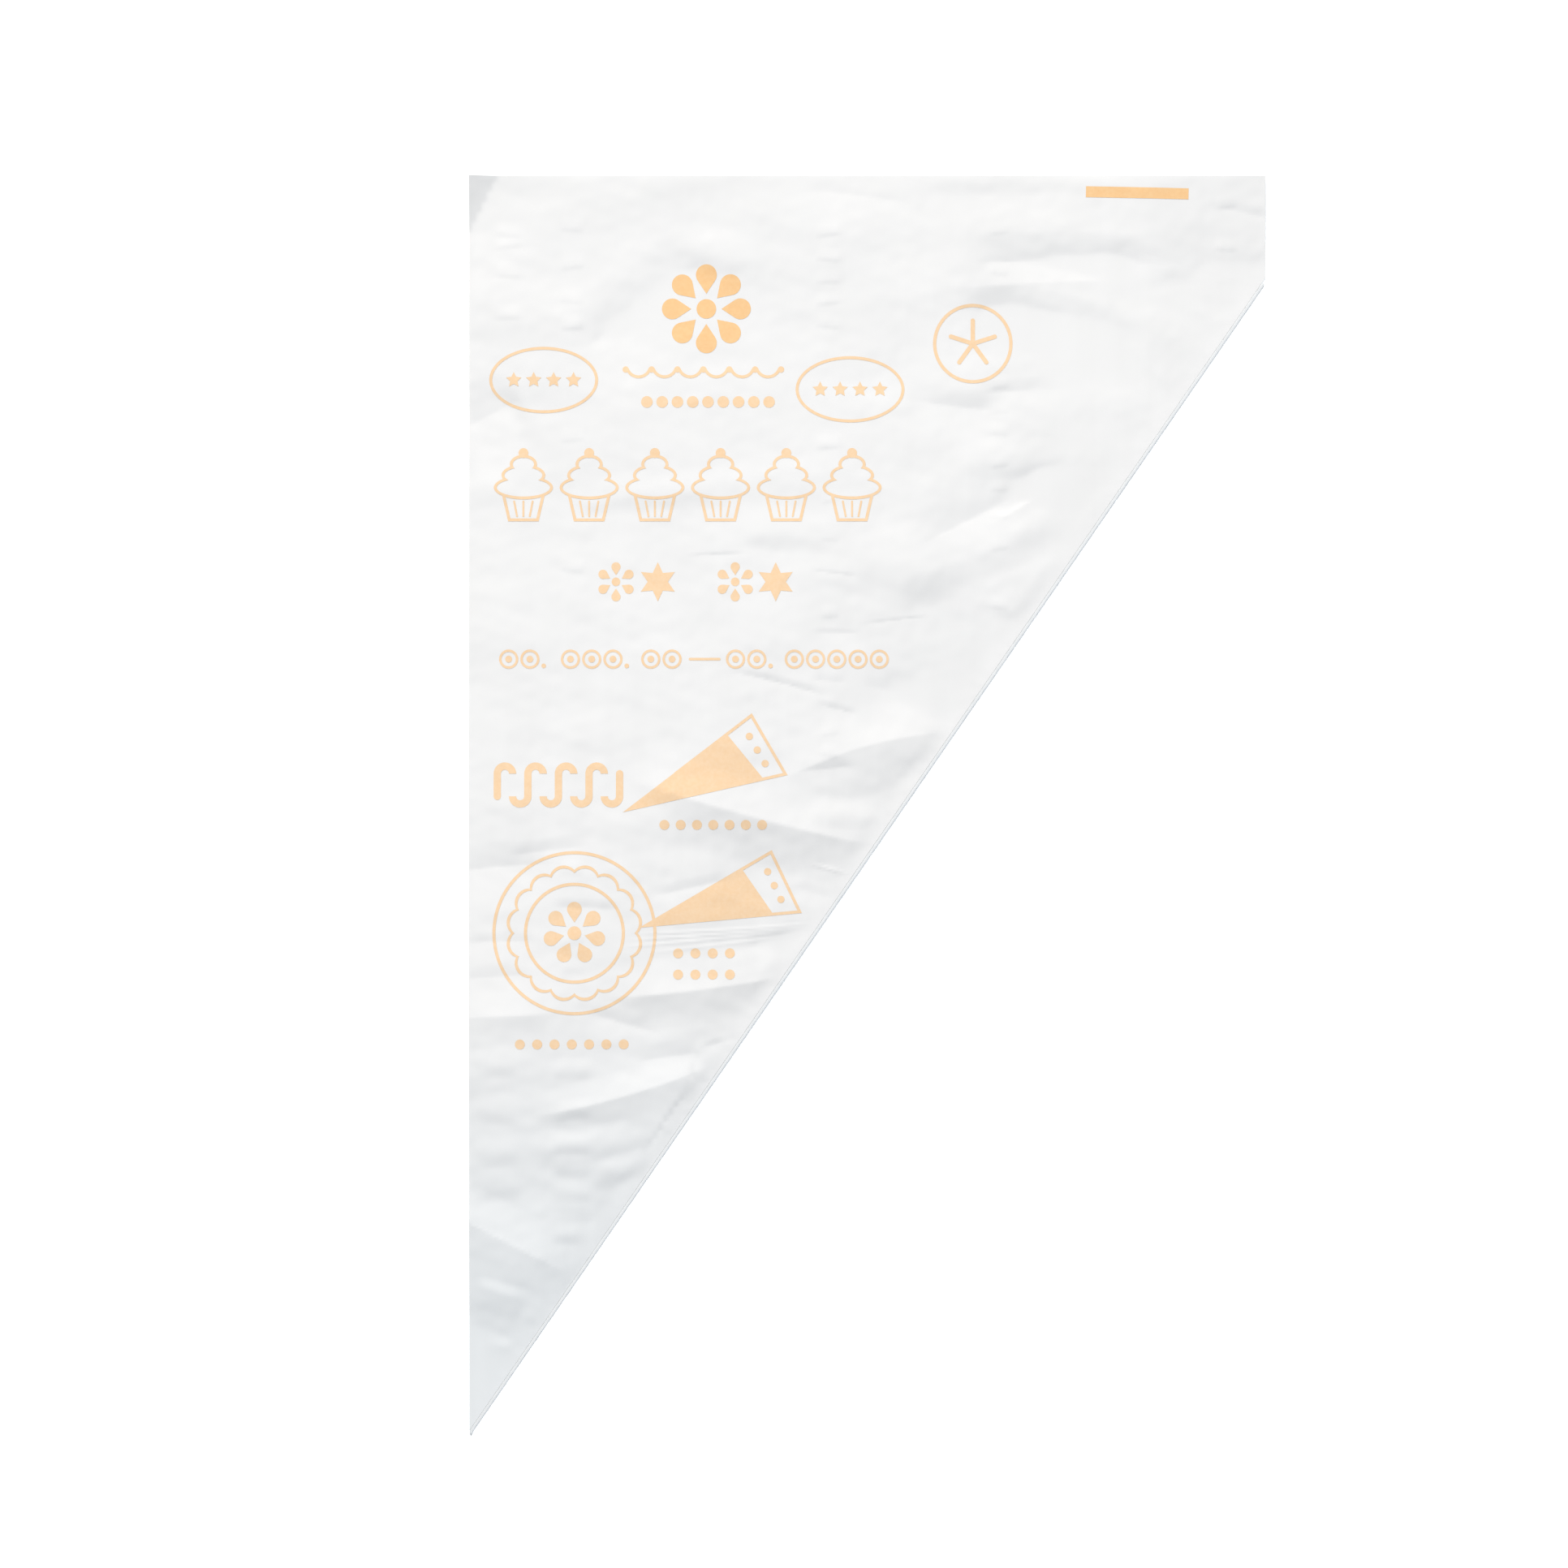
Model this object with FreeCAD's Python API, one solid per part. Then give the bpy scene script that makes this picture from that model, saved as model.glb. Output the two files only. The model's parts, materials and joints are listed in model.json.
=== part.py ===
import FreeCAD, Part
import math
import os

# A disposable film piping bag, lying flat and empty on its back wall.
#
# The frame: millimetres, +Z up, +Y towards the open mouth, +X from the long folded side to the short one.
# The origin is the centre of the flat bag's outline, on the surface that it lies on.
# Places on the bag are given as (u, v): u is measured from the long folded side, v from the tip, along that side.

# ---- driving dimensions, mm ----
MOUTH_WIDTH = 240.0        # flat width across the open mouth
LONG_SIDE = 380.0          # folded side, from the tip to the mouth
SHORT_SIDE = 32.5          # folded side left between the slanted weld and the mouth
FILM_THICKNESS = 0.10      # one wall of film
WALL_GAP = 0.40            # slack air between the two walls of a bag that lies flat
WELD_WIDTH = 1.0           # fused bead of the slanted weld
WELD_CLEARANCE = 0.50      # from the bead to the edge of the front wall that lifts from it
FOLD_SETBACK = 1.0         # the front wall stops this short of the folded sides, so that it swings clear of the back
CREASE_GAP = 0.10          # between panels that fold against each other
INK_THICKNESS = 0.03       # one patch of print on the front wall
LINE_WIDTH = 0.9           # a printed outline

# ---- the print, as drawn for its own sheet: (u, v) from the sheet's long side and lower end ----
SHEET_WIDTH = 240.0
SHEET_LENGTH = 380.0
MOUTH_BAR_AT = (201.3, 374.8)
MOUTH_BAR_SIZE = (30.9, 3.3)
MOUTH_BAR_TILT = -1.3      # degrees
SIZE_RING_AT = (151.8, 329.4)
SIZE_RING_RADIUS = 12.0
EMBLEM_AT = (71.5, 339.9)
EMBLEM_RADIUS = 13.4
SWAG_START = (47.2, 321.6)
SWAG_COUNT = 6
SWAG_PITCH = 7.8
BEAD_ROW_START = (53.6, 311.8)
BEAD_COUNT = 9
BEAD_PITCH = 4.6
BEAD_RADIUS = 1.75
CLEAN_BADGE_AT = (22.5, 318.4)
REUSE_BADGE_AT = (114.8, 315.6)
BADGE_RADII = (16.4, 10.0)
BADGE_MARKS = 4
BADGE_MARK_PITCH = 6.0
BADGE_MARK_RADIUS = 2.1
BANNER_START = (16.4, 275.8)
BANNER_COUNT = 6
BANNER_PITCH = 19.8
HEADLINE_AT = ((44.3, 257.6), (56.9, 257.6), (80.2, 257.6), (92.4, 257.6))
HEADLINE_RADIUS = 5.9
ICON_ROW_V = 234.3
ICON_GROUPS = ((12.0, 2), (30.6, 3), (54.8, 2), (80.3, 2), (98.0, 5))   # (u of the first icon, how many)
ICON_PITCH = 6.4
ICON_RADIUS = 2.9
ICON_DASH = (66.6, 75.4)
PIPED_WAVE_START = (8.6, 196.4)
PIPED_WAVE_PITCH = 9.2
PIPED_WAVE_COUNT = 4
PIPED_WAVE_HEIGHT = 11.4
PIPED_WAVE_WIDTH = 2.2
UPPER_CONE = ((46.4, 188.2), (85.2, 218.0), (96.0, 199.4))       # nozzle point, then the two mouth corners
UPPER_CONE_FILL = (0.80, 0.86)                                   # filled share of each side
UPPER_CAPTION = (58.9, 184.4, 7, 4.9)                            # u, v of the first mark, how many, pitch
ROUNDEL_AT = (31.8, 151.8)
ROUNDEL_RADII = (24.7, 19.0, 15.2)                               # plate, scalloped edge, inner circle
SCALLOP_COUNT = 16
SCALLOP_RISE = 1.7
LOWER_CONE = ((51.2, 153.4), (91.2, 176.8), (100.3, 157.8))
LOWER_CONE_FILL = (0.77, 0.83)
SIDE_CAPTION = ((63.0, 145.7), (63.0, 139.3))
SIDE_CAPTION_MARKS = (4, 5.2)
LOWER_CAPTION = (15.4, 118.3, 7, 5.2)
CAPTION_MARK_RADIUS = 1.5

# ---- sizes that follow from them ----
SLANT = math.atan2(MOUTH_WIDTH, LONG_SIDE - SHORT_SIDE)          # the weld's angle from the long side
WELD_RISE = WELD_WIDTH / math.sin(SLANT)                         # the bead's width, measured up a folded side
BACK_TOP = FILM_THICKNESS
FRONT_BOTTOM = BACK_TOP + WALL_GAP
FRONT_TOP = FRONT_BOTTOM + FILM_THICKNESS

# The two fans of folds. All the folds of the cone meet at the apex, where the weld's inner edge meets the long side.
# Its free crease halves the angle there. The corner crease halves the angle at the top of the weld.
APEX = (0.0, WELD_RISE)
WELD_TOP = (MOUTH_WIDTH, LONG_SIDE - SHORT_SIDE + WELD_RISE)
CREASE_ANGLE = SLANT / 2
CENTRE_CREASE_TOP = (APEX[0] + (LONG_SIDE - APEX[1]) * math.tan(CREASE_ANGLE), LONG_SIDE)
CORNER_CREASE_TOP = (MOUTH_WIDTH - (LONG_SIDE - WELD_TOP[1]) / math.tan(CREASE_ANGLE), LONG_SIDE)
LONG_SIDE_TOP = (0.0, LONG_SIDE)
SHORT_SIDE_TOP = (MOUTH_WIDTH, LONG_SIDE)

# One drawing serves every size of bag: it hangs from the mouth's corner on the long side, at the scale that fits.
PRINT_SCALE = min(MOUTH_WIDTH / SHEET_WIDTH, LONG_SIDE / SHEET_LENGTH)


def point(u, v, z=0.0):
    """A place on the bag as a point in the frame."""
    return FreeCAD.Vector(u - MOUTH_WIDTH / 2, v - LONG_SIDE / 2, z)


def inset(corners, distances):
    """A convex outline, clockwise, with each side moved in by its own distance. Side i starts at corner i."""
    count = len(corners)
    lines = []
    for i in range(count):
        u0, v0 = corners[i]
        u1, v1 = corners[(i + 1) % count]
        length = math.hypot(u1 - u0, v1 - v0)
        du, dv = (u1 - u0) / length, (v1 - v0) / length
        lines.append((u0 + dv * distances[i], v0 - du * distances[i], du, dv))
    moved = []
    for i in range(count):
        au, av, adu, adv = lines[i - 1]
        bu, bv, bdu, bdv = lines[i]
        along = ((bu - au) * bdv - (bv - av) * bdu) / (adu * bdv - adv * bdu)
        moved.append((au + adu * along, av + adv * along))
    return moved


def outline_face(corners):
    """A flat face on z = 0 with straight sides."""
    return Part.Face(Part.makePolygon([point(u, v) for u, v in list(corners) + [corners[0]]]))


def upright(face, bottom, height):
    """The face pulled up into a solid between bottom and bottom + height."""
    lifted = face.copy()
    lifted.translate(FreeCAD.Vector(0, 0, bottom))
    return lifted.extrude(FreeCAD.Vector(0, 0, height))


# ---- the film ----
def panel_outlines(fold_setback, weld_setback):
    """The three panels of one wall, each clockwise from its lowest corner."""
    half_gap = CREASE_GAP / 2
    left = inset([APEX, LONG_SIDE_TOP, CENTRE_CREASE_TOP], [fold_setback, 0.0, half_gap])
    right = inset(
        [APEX, CENTRE_CREASE_TOP, CORNER_CREASE_TOP, WELD_TOP],
        [half_gap, 0.0, half_gap, weld_setback],
    )
    corner = inset([WELD_TOP, CORNER_CREASE_TOP, SHORT_SIDE_TOP], [half_gap, 0.0, fold_setback])
    return {"left": left, "right": right, "corner": corner}


def weld_bead():
    """The slanted bead, as tall as both walls and the air between them."""
    strip = [(0.0, 0.0), APEX, WELD_TOP, (MOUTH_WIDTH, LONG_SIDE - SHORT_SIDE)]
    return upright(outline_face(strip), 0.0, FRONT_TOP)


# ---- flat shapes that the print is made of ----
def drawn(u, v):
    """A place on the print's sheet, as a point measured from the sheet's upper corner on the long side."""
    return FreeCAD.Vector(u, v - SHEET_LENGTH, 0)


def straight_face(corners):
    """A printed face with straight sides."""
    return Part.Face(Part.makePolygon([drawn(u, v) for u, v in list(corners) + [corners[0]]]))


def disc(centre, radius):
    return Part.Face(Part.Wire(Part.makeCircle(radius, drawn(*centre))))


def ring(centre, radius, width=LINE_WIDTH):
    """A circle drawn with a line whose outer edge is at the radius."""
    return disc(centre, radius).cut(disc(centre, radius - width))


def oval(centre, radii):
    return Part.Face(Part.Wire(Part.Ellipse(drawn(*centre), radii[0], radii[1]).toShape()))


def oval_ring(centre, radii, width=LINE_WIDTH):
    return oval(centre, radii).cut(oval(centre, (radii[0] - width, radii[1] - width)))


def around(centre, radius, angle):
    """The place at this distance and angle, in radians, from the centre."""
    return (centre[0] + radius * math.cos(angle), centre[1] + radius * math.sin(angle))


def arc_edge(start, middle, end):
    return Part.Arc(drawn(*start), drawn(*middle), drawn(*end)).toShape()


def line_edge(start, end):
    return Part.LineSegment(drawn(*start), drawn(*end)).toShape()


def stroke(start, end, width):
    """A straight line with round ends."""
    angle = math.atan2(end[1] - start[1], end[0] - start[0])
    side = angle + math.pi / 2
    half = width / 2
    edges = [
        line_edge(around(start, half, side), around(end, half, side)),
        arc_edge(around(end, half, side), around(end, half, angle), around(end, -half, side)),
        line_edge(around(end, -half, side), around(start, -half, side)),
        arc_edge(around(start, -half, side), around(start, -half, angle), around(start, half, side)),
    ]
    return Part.Face(Part.Wire(edges))


def arc_band(centre, radius, width, start, end):
    """Part of a ring about the centre, between two angles in radians."""
    middle = (start + end) / 2
    outer, inner = radius + width / 2, radius - width / 2
    edges = [
        arc_edge(around(centre, outer, start), around(centre, outer, middle), around(centre, outer, end)),
        line_edge(around(centre, outer, end), around(centre, inner, end)),
        arc_edge(around(centre, inner, end), around(centre, inner, middle), around(centre, inner, start)),
        line_edge(around(centre, inner, start), around(centre, outer, start)),
    ]
    return Part.Face(Part.Wire(edges))


def petal(root, direction, length, radius):
    """A teardrop with its point at the root and its round end at the full length."""
    middle = around(root, length - radius, direction)
    lean = math.acos(radius / (length - radius))
    turn = direction + math.pi
    left = around(middle, radius, turn - lean)
    right = around(middle, radius, turn + lean)
    edges = [
        line_edge(root, left),
        arc_edge(left, around(middle, radius, direction), right),
        line_edge(right, root),
    ]
    return Part.Face(Part.Wire(edges))


def drop_flower(centre, radius, petals=8):
    """A piped flower: teardrop petals about a small disc."""
    eye = radius * 0.22
    root = radius * 0.34
    length = radius - root
    round_end = radius * 0.235
    shapes = [disc(centre, eye)]
    for i in range(petals):
        angle = math.pi / 2 + i * 2 * math.pi / petals
        shapes.append(petal(around(centre, root, angle), angle, length, round_end))
    return joined(shapes)


def star(centre, radius, points=6, depth=0.52):
    """A star whose inner corners are at this share of the radius."""
    corners = []
    for i in range(2 * points):
        reach = radius if i % 2 == 0 else radius * depth
        corners.append(around(centre, reach, math.pi / 2 - i * math.pi / points))
    return straight_face(corners)


def scalloped(centre, radius, rise, count):
    """A disc edged with outward arcs. The radius is at the notches."""
    step = 2 * math.pi / count
    edges = []
    for i in range(count):
        start = i * step
        notch = around(centre, radius, start)
        crest = around(centre, radius + rise, start + step / 2)
        edges.append(arc_edge(notch, crest, around(centre, radius, start + step)))
    return Part.Face(Part.Wire(edges))


def serpentine(start, pitch, height, count, width):
    """A line piped up and down, with a half circle at each turn."""
    radius = pitch / 4
    rise = height / 2 - radius
    shapes = []
    for i in range(2 * count + 1):
        u = start[0] + 2 * radius * i
        shapes.append(stroke((u, start[1] - rise), (u, start[1] + rise), width))
    for i in range(2 * count):
        centre = (start[0] + radius * (2 * i + 1), start[1] + (rise if i % 2 == 0 else -rise))
        first = 0.0 if i % 2 == 0 else math.pi
        shapes.append(arc_band(centre, radius, width, first, first + math.pi))
    return Part.makeCompound(shapes)


def joined(shapes):
    """Several flat shapes as one."""
    return shapes[0].multiFuse(shapes[1:])


# ---- the print ----
def mouth_bar():
    """Solid bar beside the mouth that shows which end is cut open."""
    length, height = MOUTH_BAR_SIZE
    face = straight_face([
        (MOUTH_BAR_AT[0] - length / 2, MOUTH_BAR_AT[1] - height / 2),
        (MOUTH_BAR_AT[0] - length / 2, MOUTH_BAR_AT[1] + height / 2),
        (MOUTH_BAR_AT[0] + length / 2, MOUTH_BAR_AT[1] + height / 2),
        (MOUTH_BAR_AT[0] + length / 2, MOUTH_BAR_AT[1] - height / 2),
    ])
    face.rotate(drawn(*MOUTH_BAR_AT), FreeCAD.Vector(0, 0, 1), MOUTH_BAR_TILT)
    return face


def size_ring():
    """Ring with a plain nozzle-star mark, where bag sizes are shown."""
    shapes = [ring(SIZE_RING_AT, SIZE_RING_RADIUS, 1.0)]
    arm = SIZE_RING_RADIUS * 0.58
    for i in range(5):
        angle = math.pi / 2 + i * 2 * math.pi / 5
        shapes.append(stroke(SIZE_RING_AT, around(SIZE_RING_AT, arm, angle), 1.3))
    return joined(shapes)


def swag_border():
    """A row of hanging icing swags with a bead at each join."""
    shapes = []
    half = SWAG_PITCH / 2
    for i in range(SWAG_COUNT):
        centre = (SWAG_START[0] + SWAG_PITCH * (i + 0.5), SWAG_START[1] + half * 0.35)
        shapes.append(arc_band(centre, half * 0.92, 0.9, math.radians(200), math.radians(340)))
    for i in range(SWAG_COUNT + 1):
        shapes.append(disc((SWAG_START[0] + SWAG_PITCH * i, SWAG_START[1]), 0.95))
    return joined(shapes)


def row_of_discs(start, count, pitch, radius):
    """Round marks in a level row."""
    shapes = []
    for i in range(count):
        shapes.append(disc((start[0] + pitch * i, start[1]), radius))
    return Part.makeCompound(shapes)


def badge(centre):
    """An oval line round a short row of star marks."""
    shapes = [oval_ring(centre, BADGE_RADII)]
    first = centre[0] - BADGE_MARK_PITCH * (BADGE_MARKS - 1) / 2
    for i in range(BADGE_MARKS):
        shapes.append(star((first + BADGE_MARK_PITCH * i, centre[1]), BADGE_MARK_RADIUS * 1.15, 5, 0.5))
    return Part.makeCompound(shapes)


def cupcake(foot):
    """An outlined cupcake that stands on this point."""
    u, v = foot
    cup_height, cup_foot, cup_top = 8.6, 4.6, 6.6
    cup_corners = [
        (u - cup_foot, v),
        (u - cup_top, v + cup_height),
        (u + cup_top, v + cup_height),
        (u + cup_foot, v),
    ]
    cup = straight_face(cup_corners).cut(straight_face(inset(cup_corners, [LINE_WIDTH] * 4)))
    pleats = []
    for lean in (-0.42, 0.0, 0.42):
        pleats.append(stroke((u + lean * cup_foot, v + 1.6), (u + lean * cup_top, v + 6.0), 0.6))
    tiers = ((8.9, 3.6, 10.2), (6.6, 3.3, 13.9), (4.1, 2.9, 17.2))    # half width, half height, height of the middle
    icing = joined([oval((u, v + middle), (wide, tall)) for wide, tall, middle in tiers])
    hollow = joined([
        oval((u, v + middle), (wide - LINE_WIDTH, tall - LINE_WIDTH)) for wide, tall, middle in tiers
    ])
    shapes = [cup.cut(icing), icing.cut(hollow), disc((u, v + 20.6), 1.5)]
    return Part.makeCompound(shapes + pleats)


def banner():
    """A band of outlined cupcakes."""
    shapes = []
    for i in range(BANNER_COUNT):
        shapes.append(cupcake((BANNER_START[0] + BANNER_PITCH * i, BANNER_START[1])))
    return Part.makeCompound(shapes)


def headline():
    """Four bold marks, flowers and stars by turns."""
    shapes = []
    for i, place in enumerate(HEADLINE_AT):
        shapes.append(drop_flower(place, HEADLINE_RADIUS, 6) if i % 2 == 0 else star(place, HEADLINE_RADIUS))
    return Part.makeCompound(shapes)


def icon_row():
    """Groups of small ringed dots, with a stop between groups and a dash in the middle."""
    shapes = [stroke((ICON_DASH[0], ICON_ROW_V), (ICON_DASH[1], ICON_ROW_V), 0.8)]
    for first, count in ICON_GROUPS:
        for i in range(count):
            centre = (first + ICON_PITCH * i, ICON_ROW_V)
            shapes.append(ring(centre, ICON_RADIUS, 0.75))
            shapes.append(disc(centre, ICON_RADIUS * 0.36))
        if first != ICON_GROUPS[-1][0] and first != ICON_GROUPS[2][0]:
            stop = (first + ICON_PITCH * (count - 0.35), ICON_ROW_V - ICON_RADIUS * 0.7)
            shapes.append(disc(stop, 0.7))
    return Part.makeCompound(shapes)


def cone_picture(corners, filled):
    """A small picture of a filled bag: its outline, and the icing in its lower part."""
    tip, upper, lower = corners
    outline = straight_face(corners).cut(straight_face(inset(corners, [LINE_WIDTH] * 3)))
    upper_level = tuple(a + (b - a) * filled[0] for a, b in zip(tip, upper))
    lower_level = tuple(a + (b - a) * filled[1] for a, b in zip(tip, lower))
    middle = tuple((a + b) / 2 for a, b in zip(upper, lower))
    marks = []
    for share in (-0.22, 0.0, 0.22):
        centre = tuple(
            m + (b - a) * share + (t - m) * 0.085
            for m, a, b, t in zip(middle, upper, lower, tip)
        )
        marks.append(disc(centre, 1.1))
    return joined([outline, straight_face([tip, upper_level, lower_level])] + marks)


def cake_roundel():
    """A cake seen from above: plate, scalloped icing, inner circle and a piped flower, clear of the lower cone."""
    plate, edge, inner = ROUNDEL_RADII
    line = LINE_WIDTH * 1.05
    shapes = [
        ring(ROUNDEL_AT, plate, line),
        scalloped(ROUNDEL_AT, edge, SCALLOP_RISE, SCALLOP_COUNT).cut(
            scalloped(ROUNDEL_AT, edge - line, SCALLOP_RISE, SCALLOP_COUNT)),
        ring(ROUNDEL_AT, inner, line),
        drop_flower(ROUNDEL_AT, inner * 0.62, 7),
    ]
    return Part.makeCompound(shapes).cut(straight_face(LOWER_CONE))


def side_caption():
    """Two short rows of round marks."""
    count, pitch = SIDE_CAPTION_MARKS
    return Part.makeCompound([row_of_discs(start, count, pitch, CAPTION_MARK_RADIUS) for start in SIDE_CAPTION])


def caption(row):
    u, v, count, pitch = row
    return row_of_discs((u, v), count, pitch, CAPTION_MARK_RADIUS)


PRINT = {
    "mouth_bar": mouth_bar(),
    "size_ring": size_ring(),
    "flower_emblem": drop_flower(EMBLEM_AT, EMBLEM_RADIUS),
    "swag_border": swag_border(),
    "bead_row": row_of_discs(BEAD_ROW_START, BEAD_COUNT, BEAD_PITCH, BEAD_RADIUS),
    "clean_badge": badge(CLEAN_BADGE_AT),
    "reuse_badge": badge(REUSE_BADGE_AT),
    "cupcake_banner": banner(),
    "headline": headline(),
    "icon_row": icon_row(),
    "piped_wave": serpentine(
        PIPED_WAVE_START, PIPED_WAVE_PITCH, PIPED_WAVE_HEIGHT, PIPED_WAVE_COUNT, PIPED_WAVE_WIDTH),
    "upper_cone": cone_picture(UPPER_CONE, UPPER_CONE_FILL),
    "upper_caption": caption(UPPER_CAPTION),
    "cake_roundel": cake_roundel(),
    "lower_cone": cone_picture(LOWER_CONE, LOWER_CONE_FILL),
    "side_caption": side_caption(),
    "lower_caption": caption(LOWER_CAPTION),
}


def save(name, shape):
    shape.exportStep("parts/" + name + ".step")
    print(name, len(shape.Solids), round(shape.Volume, 3), shape.isValid())


def ink(face):
    """A flat shape as a patch of ink on the front wall: faces that touch become one solid."""
    patches = [upright(part, FRONT_TOP, INK_THICKNESS) for part in face.Faces]
    if len(patches) == 1:
        return patches[0]
    merged = patches[0].multiFuse(patches[1:]).removeSplitter()
    return merged.Solids[0] if len(merged.Solids) == 1 else Part.makeCompound(merged.Solids)


def print_nodes(front_panels):
    """Each patch of ink, cut along the creases, as {node name: solid}. A patch on one panel keeps its plain name."""
    nodes = {}
    for name, face in PRINT.items():
        face.scale(PRINT_SCALE)
        face.translate(point(*LONG_SIDE_TOP))
        on_panels = {}
        for side, corners in front_panels.items():
            cut = face.common(outline_face(corners))
            if cut.Faces:
                on_panels[side] = ink(cut)
        for side, solid in on_panels.items():
            nodes[name if len(on_panels) == 1 else name + "_" + side] = solid
    return nodes


os.makedirs("parts", exist_ok=True)
back_panels = panel_outlines(fold_setback=0.0, weld_setback=0.0)
front_panels = panel_outlines(FOLD_SETBACK, WELD_CLEARANCE)
for side in back_panels:
    save("back_" + side + "_wall", upright(outline_face(back_panels[side]), 0.0, FILM_THICKNESS))
    save("front_" + side + "_wall", upright(outline_face(front_panels[side]), FRONT_BOTTOM, FILM_THICKNESS))
save("slant_weld", weld_bead())
for node, solid in print_nodes(front_panels).items():
    save(node, solid)

# The axes of the folds, in metres, for the joints. All lie half way up the air between the walls.
level = (BACK_TOP + WALL_GAP / 2) / 1000
for name, place in (("apex", APEX), ("weld_top", WELD_TOP)):
    at = point(*place) / 1000
    print(name, round(at.x, 6), round(at.y, 6), round(level, 6))
print("weld axis", round(math.sin(SLANT), 6), round(math.cos(SLANT), 6))
print("centre crease axis", round(math.sin(CREASE_ANGLE), 6), round(math.cos(CREASE_ANGLE), 6))
print("corner crease axis", round(-math.cos(CREASE_ANGLE), 6), round(math.sin(CREASE_ANGLE), 6))
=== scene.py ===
import json
import math
from collections import namedtuple

import bmesh
import bpy
import numpy as np
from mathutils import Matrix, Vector

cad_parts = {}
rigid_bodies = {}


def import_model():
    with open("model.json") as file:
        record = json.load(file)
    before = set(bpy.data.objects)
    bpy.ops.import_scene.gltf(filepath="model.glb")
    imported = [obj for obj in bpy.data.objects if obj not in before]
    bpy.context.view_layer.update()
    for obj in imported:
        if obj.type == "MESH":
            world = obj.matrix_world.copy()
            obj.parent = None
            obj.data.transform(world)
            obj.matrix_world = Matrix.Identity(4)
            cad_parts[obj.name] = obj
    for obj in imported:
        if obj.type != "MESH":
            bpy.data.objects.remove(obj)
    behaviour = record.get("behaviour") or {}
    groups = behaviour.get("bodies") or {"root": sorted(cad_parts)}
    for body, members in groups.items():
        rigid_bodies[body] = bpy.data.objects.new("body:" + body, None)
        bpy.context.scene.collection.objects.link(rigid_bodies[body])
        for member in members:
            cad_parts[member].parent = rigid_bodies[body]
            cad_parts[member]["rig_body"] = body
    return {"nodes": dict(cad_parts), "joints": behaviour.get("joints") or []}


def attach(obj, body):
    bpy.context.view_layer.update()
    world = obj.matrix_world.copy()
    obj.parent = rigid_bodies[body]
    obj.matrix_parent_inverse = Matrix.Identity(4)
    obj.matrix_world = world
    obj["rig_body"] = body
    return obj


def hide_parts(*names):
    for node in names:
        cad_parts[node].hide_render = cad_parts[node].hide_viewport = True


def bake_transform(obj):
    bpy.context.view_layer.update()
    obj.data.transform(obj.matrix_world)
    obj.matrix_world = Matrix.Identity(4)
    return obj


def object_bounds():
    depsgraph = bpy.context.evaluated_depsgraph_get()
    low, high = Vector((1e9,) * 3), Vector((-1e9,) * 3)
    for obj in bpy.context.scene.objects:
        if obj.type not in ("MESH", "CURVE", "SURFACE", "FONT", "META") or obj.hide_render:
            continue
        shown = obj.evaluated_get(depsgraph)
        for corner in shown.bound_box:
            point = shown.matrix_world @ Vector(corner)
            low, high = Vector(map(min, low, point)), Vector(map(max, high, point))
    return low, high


# Looks of a flat, empty piping bag: one film tube, welded along a slant, printed in light orange.
# Places on the bag are (u, v) in millimetres: u from the long folded side and v from the tip.
# Heights are in millimetres above the table.

MM = 0.001

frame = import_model()
cad_low, cad_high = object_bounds()
joints = {joint["name"]: joint for joint in frame["joints"]}
nodes = frame["nodes"]


# ---- the bag's outline and fold lines, read from the frame ----
def on_bag(place):
    """A point of the frame as (u, v)."""
    return np.array([(place[0] - cad_low.x) / MM, (place[1] - cad_low.y) / MM])


def in_frame(place, height=0.0):
    """(u, v) and a height as a point of the frame, in metres."""
    return Vector((cad_low.x + place[0] * MM, cad_low.y + place[1] * MM, cad_low.z + height * MM))


WIDTH = (cad_high.x - cad_low.x) / MM
LENGTH = (cad_high.y - cad_low.y) / MM

# The free film's lowest point, where its folds meet, and the weld's upper end, on the short folded side.
APEX = on_bag(joints["mouth_opening"]["pos_m"])
WELD_TOP = on_bag(joints["front_corner_crease"]["pos_m"])

# Directions along the three fold lines and across them. Across the centre crease is from left to right,
# and across the corner crease is from the right panel to the corner panel.
WELD_ALONG = np.array(joints["mouth_opening"]["axis"][:2])
WELD_INWARD = np.array([-WELD_ALONG[1], WELD_ALONG[0]])
CENTRE_ALONG = np.array(joints["back_centre_crease"]["axis"][:2])
CENTRE_ACROSS = np.array([CENTRE_ALONG[1], -CENTRE_ALONG[0]])
CORNER_ALONG = np.array(joints["front_corner_crease"]["axis"][:2])
CORNER_ACROSS = np.array([CORNER_ALONG[1], -CORNER_ALONG[0]])
WELD_WIDTH = APEX[1] * WELD_ALONG[0]

FILM = 0.1                   # thickness of one wall
CORNER_BEND = 3.2            # the same at the corner crease
SEAM = CORNER_BEND + 0.2     # the corner film is its own piece from this far below its crease
CELL_U = 1.6                 # the film's mesh
CELL_V = 0.64
INK_LIFT = 0.05              # the ink's top above the film
INK = 0.03                   # the ink's thickness
INK_CELL = 1.3               # the ink's mesh


def smooth(x):
    """A soft step from 0 to 1 as x goes from 0 to 1."""
    x = np.clip(x, 0.0, 1.0)
    return x * x * (3 - 2 * x)


def from_weld(u, v):
    """How far inside the weld's inner edge a place is."""
    return (u - APEX[0]) * WELD_INWARD[0] + (v - APEX[1]) * WELD_INWARD[1]


# ---- folds and ripples of the film ----
# A fold runs from start to end. It dies out left mm to the left of its line and right mm to the right.
# A sharp fold is creased along its line and a soft one is rounded. It bows to its left by bend mm.
Fold = namedtuple("Fold", "start end height left right bend sharp", defaults=(0.0, True))

# A bend runs from foot to head. The film to its right is tilted by this slope.
Bend = namedtuple("Bend", "foot head slope")

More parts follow.
